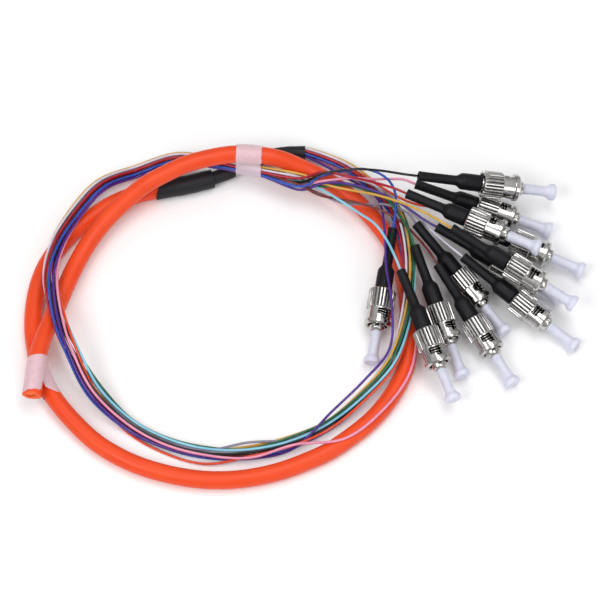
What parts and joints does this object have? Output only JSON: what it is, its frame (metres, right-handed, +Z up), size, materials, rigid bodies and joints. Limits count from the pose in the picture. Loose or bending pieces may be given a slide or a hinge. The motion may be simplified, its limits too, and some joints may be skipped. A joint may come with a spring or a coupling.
{
  "type": "multi-fibre pigtail",
  "caption": "Coiled orange cable with a black breakout, coloured buffered fibres round the coil, and a fan of booted bayonet fibre plugs with dust caps; two tape wraps.",
  "frame": {"origin": "middle of the box that the coil and its plugs fill, on the surface it lies on", "axes": "+Z up from the surface; +X along the longer side, towards the plugs; +Y across, towards the breakout"},
  "size_m": [0.1964, 0.1342, 0.0251],
  "materials": {
    "jacket": "smooth extruded PVC or LSZH",
    "black_shrink": "shrunk polyolefin",
    "tape": "thin translucent adhesive film",
    "boot": "moulded soft thermoplastic",
    "nickel": "nickel-plated, knurled",
    "cap": "translucent moulded polyethylene",
    "blue": "smooth tight buffer",
    "orange": "smooth tight buffer",
    "green": "smooth tight buffer",
    "brown": "smooth tight buffer",
    "slate": "smooth tight buffer",
    "white": "smooth tight buffer",
    "red": "smooth tight buffer",
    "black": "smooth tight buffer",
    "yellow": "smooth tight buffer",
    "violet": "smooth tight buffer",
    "rose": "smooth tight buffer",
    "aqua": "smooth tight buffer"
  },
  "bodies": {
    "pigtail": {"cable_jacket": "jacket", "breakout_sleeve": "black_shrink", "breakout_tube": "black_shrink", "fibre_rose": "rose", "fibre_orange": "orange", "fibre_aqua": "aqua", "fibre_green": "green", "fibre_yellow": "yellow", "fibre_white": "white", "fibre_red": "red", "fibre_blue": "blue", "fibre_violet": "violet", "fibre_black": "black", "fibre_slate": "slate", "fibre_brown": "brown", "top_tape": "tape", "left_tape": "tape", "connector_body_01": "boot", "connector_body_02": "boot", "connector_body_03": "boot", "connector_body_04": "boot", "connector_body_05": "boot", "connector_body_06": "boot", "connector_body_07": "boot", "connector_body_08": "boot", "connector_body_09": "boot", "connector_body_10": "boot", "connector_body_11": "boot", "connector_body_12": "boot"},
    "nut_01": {"coupling_nut_01": "nickel"},
    "cap_01": {"dust_cap_01": "cap"},
    "nut_02": {"coupling_nut_02": "nickel"},
    "cap_02": {"dust_cap_02": "cap"},
    "nut_03": {"coupling_nut_03": "nickel"},
    "cap_03": {"dust_cap_03": "cap"},
    "nut_04": {"coupling_nut_04": "nickel"},
    "cap_04": {"dust_cap_04": "cap"},
    "nut_05": {"coupling_nut_05": "nickel"},
    "cap_05": {"dust_cap_05": "cap"},
    "nut_06": {"coupling_nut_06": "nickel"},
    "cap_06": {"dust_cap_06": "cap"},
    "nut_07": {"coupling_nut_07": "nickel"},
    "cap_07": {"dust_cap_07": "cap"},
    "nut_08": {"coupling_nut_08": "nickel"},
    "cap_08": {"dust_cap_08": "cap"},
    "nut_09": {"coupling_nut_09": "nickel"},
    "cap_09": {"dust_cap_09": "cap"},
    "nut_10": {"coupling_nut_10": "nickel"},
    "cap_10": {"dust_cap_10": "cap"},
    "nut_11": {"coupling_nut_11": "nickel"},
    "cap_11": {"dust_cap_11": "cap"},
    "nut_12": {"coupling_nut_12": "nickel"},
    "cap_12": {"dust_cap_12": "cap"}
  },
  "joints": [
    {"name": "nut_01_turn", "type": "hinge", "parent": "pigtail", "child": "nut_01", "pos_m": [0.06786, 0.04511, 0.0143], "axis": [0.9557, 0.0334, -0.2924], "continuous": true},
    {"name": "cap_01_pull", "type": "slide", "parent": "pigtail", "child": "cap_01", "axis": [0.9557, 0.0334, -0.2924], "range_m": [0, 0.008]},
    {"name": "nut_02_turn", "type": "hinge", "parent": "pigtail", "child": "nut_02", "pos_m": [0.06682, 0.03918, 0.00608], "axis": [0.9445, -0.2888, -0.1564], "continuous": true},
    {"name": "cap_02_pull", "type": "slide", "parent": "pigtail", "child": "cap_02", "axis": [0.9445, -0.2888, -0.1564], "range_m": [0, 0.008]},
    {"name": "nut_03_turn", "type": "hinge", "parent": "pigtail", "child": "nut_03", "pos_m": [0.06251, 0.02766, 0.01654], "axis": [0.9123, -0.4062, -0.0523], "continuous": true},
    {"name": "cap_03_pull", "type": "slide", "parent": "pigtail", "child": "cap_03", "axis": [0.9123, -0.4062, -0.0523], "range_m": [0, 0.008]},
    {"name": "nut_04_turn", "type": "hinge", "parent": "pigtail", "child": "nut_04", "pos_m": [0.0783, 0.02435, 0.00673], "axis": [0.9136, -0.3878, -0.1219], "continuous": true},
    {"name": "cap_04_pull", "type": "slide", "parent": "pigtail", "child": "cap_04", "axis": [0.9136, -0.3878, -0.1219], "range_m": [0, 0.008]},
    {"name": "nut_05_turn", "type": "hinge", "parent": "pigtail", "child": "nut_05", "pos_m": [0.07143, 0.01617, 0.00573], "axis": [0.8576, -0.4951, -0.1392], "continuous": true},
    {"name": "cap_05_pull", "type": "slide", "parent": "pigtail", "child": "cap_05", "axis": [0.8576, -0.4951, -0.1392], "range_m": [0, 0.008]},
    {"name": "nut_06_turn", "type": "hinge", "parent": "pigtail", "child": "nut_06", "pos_m": [0.07589, 0.00954, 0.01514], "axis": [0.8471, -0.4891, -0.2079], "continuous": true},
    {"name": "cap_06_pull", "type": "slide", "parent": "pigtail", "child": "cap_06", "axis": [0.8471, -0.4891, -0.2079], "range_m": [0, 0.008]},
    {"name": "nut_07_turn", "type": "hinge", "parent": "pigtail", "child": "nut_07", "pos_m": [0.07781, -0.0004, 0.00677], "axis": [0.7735, -0.6043, -0.1908], "continuous": true},
    {"name": "cap_07_pull", "type": "slide", "parent": "pigtail", "child": "cap_07", "axis": [0.7735, -0.6043, -0.1908], "range_m": [0, 0.008]},
    {"name": "nut_08_turn", "type": "hinge", "parent": "pigtail", "child": "nut_08", "pos_m": [0.05686, 0.00883, 0.00573], "axis": [0.6097, -0.7803, -0.1392], "continuous": true},
    {"name": "cap_08_pull", "type": "slide", "parent": "pigtail", "child": "cap_08", "axis": [0.6097, -0.7803, -0.1392], "range_m": [0, 0.008]},
    {"name": "nut_09_turn", "type": "hinge", "parent": "pigtail", "child": "nut_09", "pos_m": [0.06105, -0.01039, 0.007], "axis": [0.5087, -0.8466, -0.1564], "continuous": true},
    {"name": "cap_09_pull", "type": "slide", "parent": "pigtail", "child": "cap_09", "axis": [0.5087, -0.8466, -0.1564], "range_m": [0, 0.008]},
    {"name": "nut_10_turn", "type": "hinge", "parent": "pigtail", "child": "nut_10", "pos_m": [0.04743, -0.00558, 0.00702], "axis": [0.3216, -0.9339, -0.1564], "continuous": true},
    {"name": "cap_10_pull", "type": "slide", "parent": "pigtail", "child": "cap_10", "axis": [0.3216, -0.9339, -0.1564], "range_m": [0, 0.008]},
    {"name": "nut_11_turn", "type": "hinge", "parent": "pigtail", "child": "nut_11", "pos_m": [0.04335, -0.01735, 0.01149], "axis": [0.354, -0.9221, -0.1564], "continuous": true},
    {"name": "cap_11_pull", "type": "slide", "parent": "pigtail", "child": "cap_11", "axis": [0.354, -0.9221, -0.1564], "range_m": [0, 0.008]},
    {"name": "nut_12_turn", "type": "hinge", "parent": "pigtail", "child": "nut_12", "pos_m": [0.0257, 0.00047, 0.00648], "axis": [-0.1549, -0.9781, -0.1392], "continuous": true},
    {"name": "cap_12_pull", "type": "slide", "parent": "pigtail", "child": "cap_12", "axis": [-0.1549, -0.9781, -0.1392], "range_m": [0, 0.008]}
  ]
}
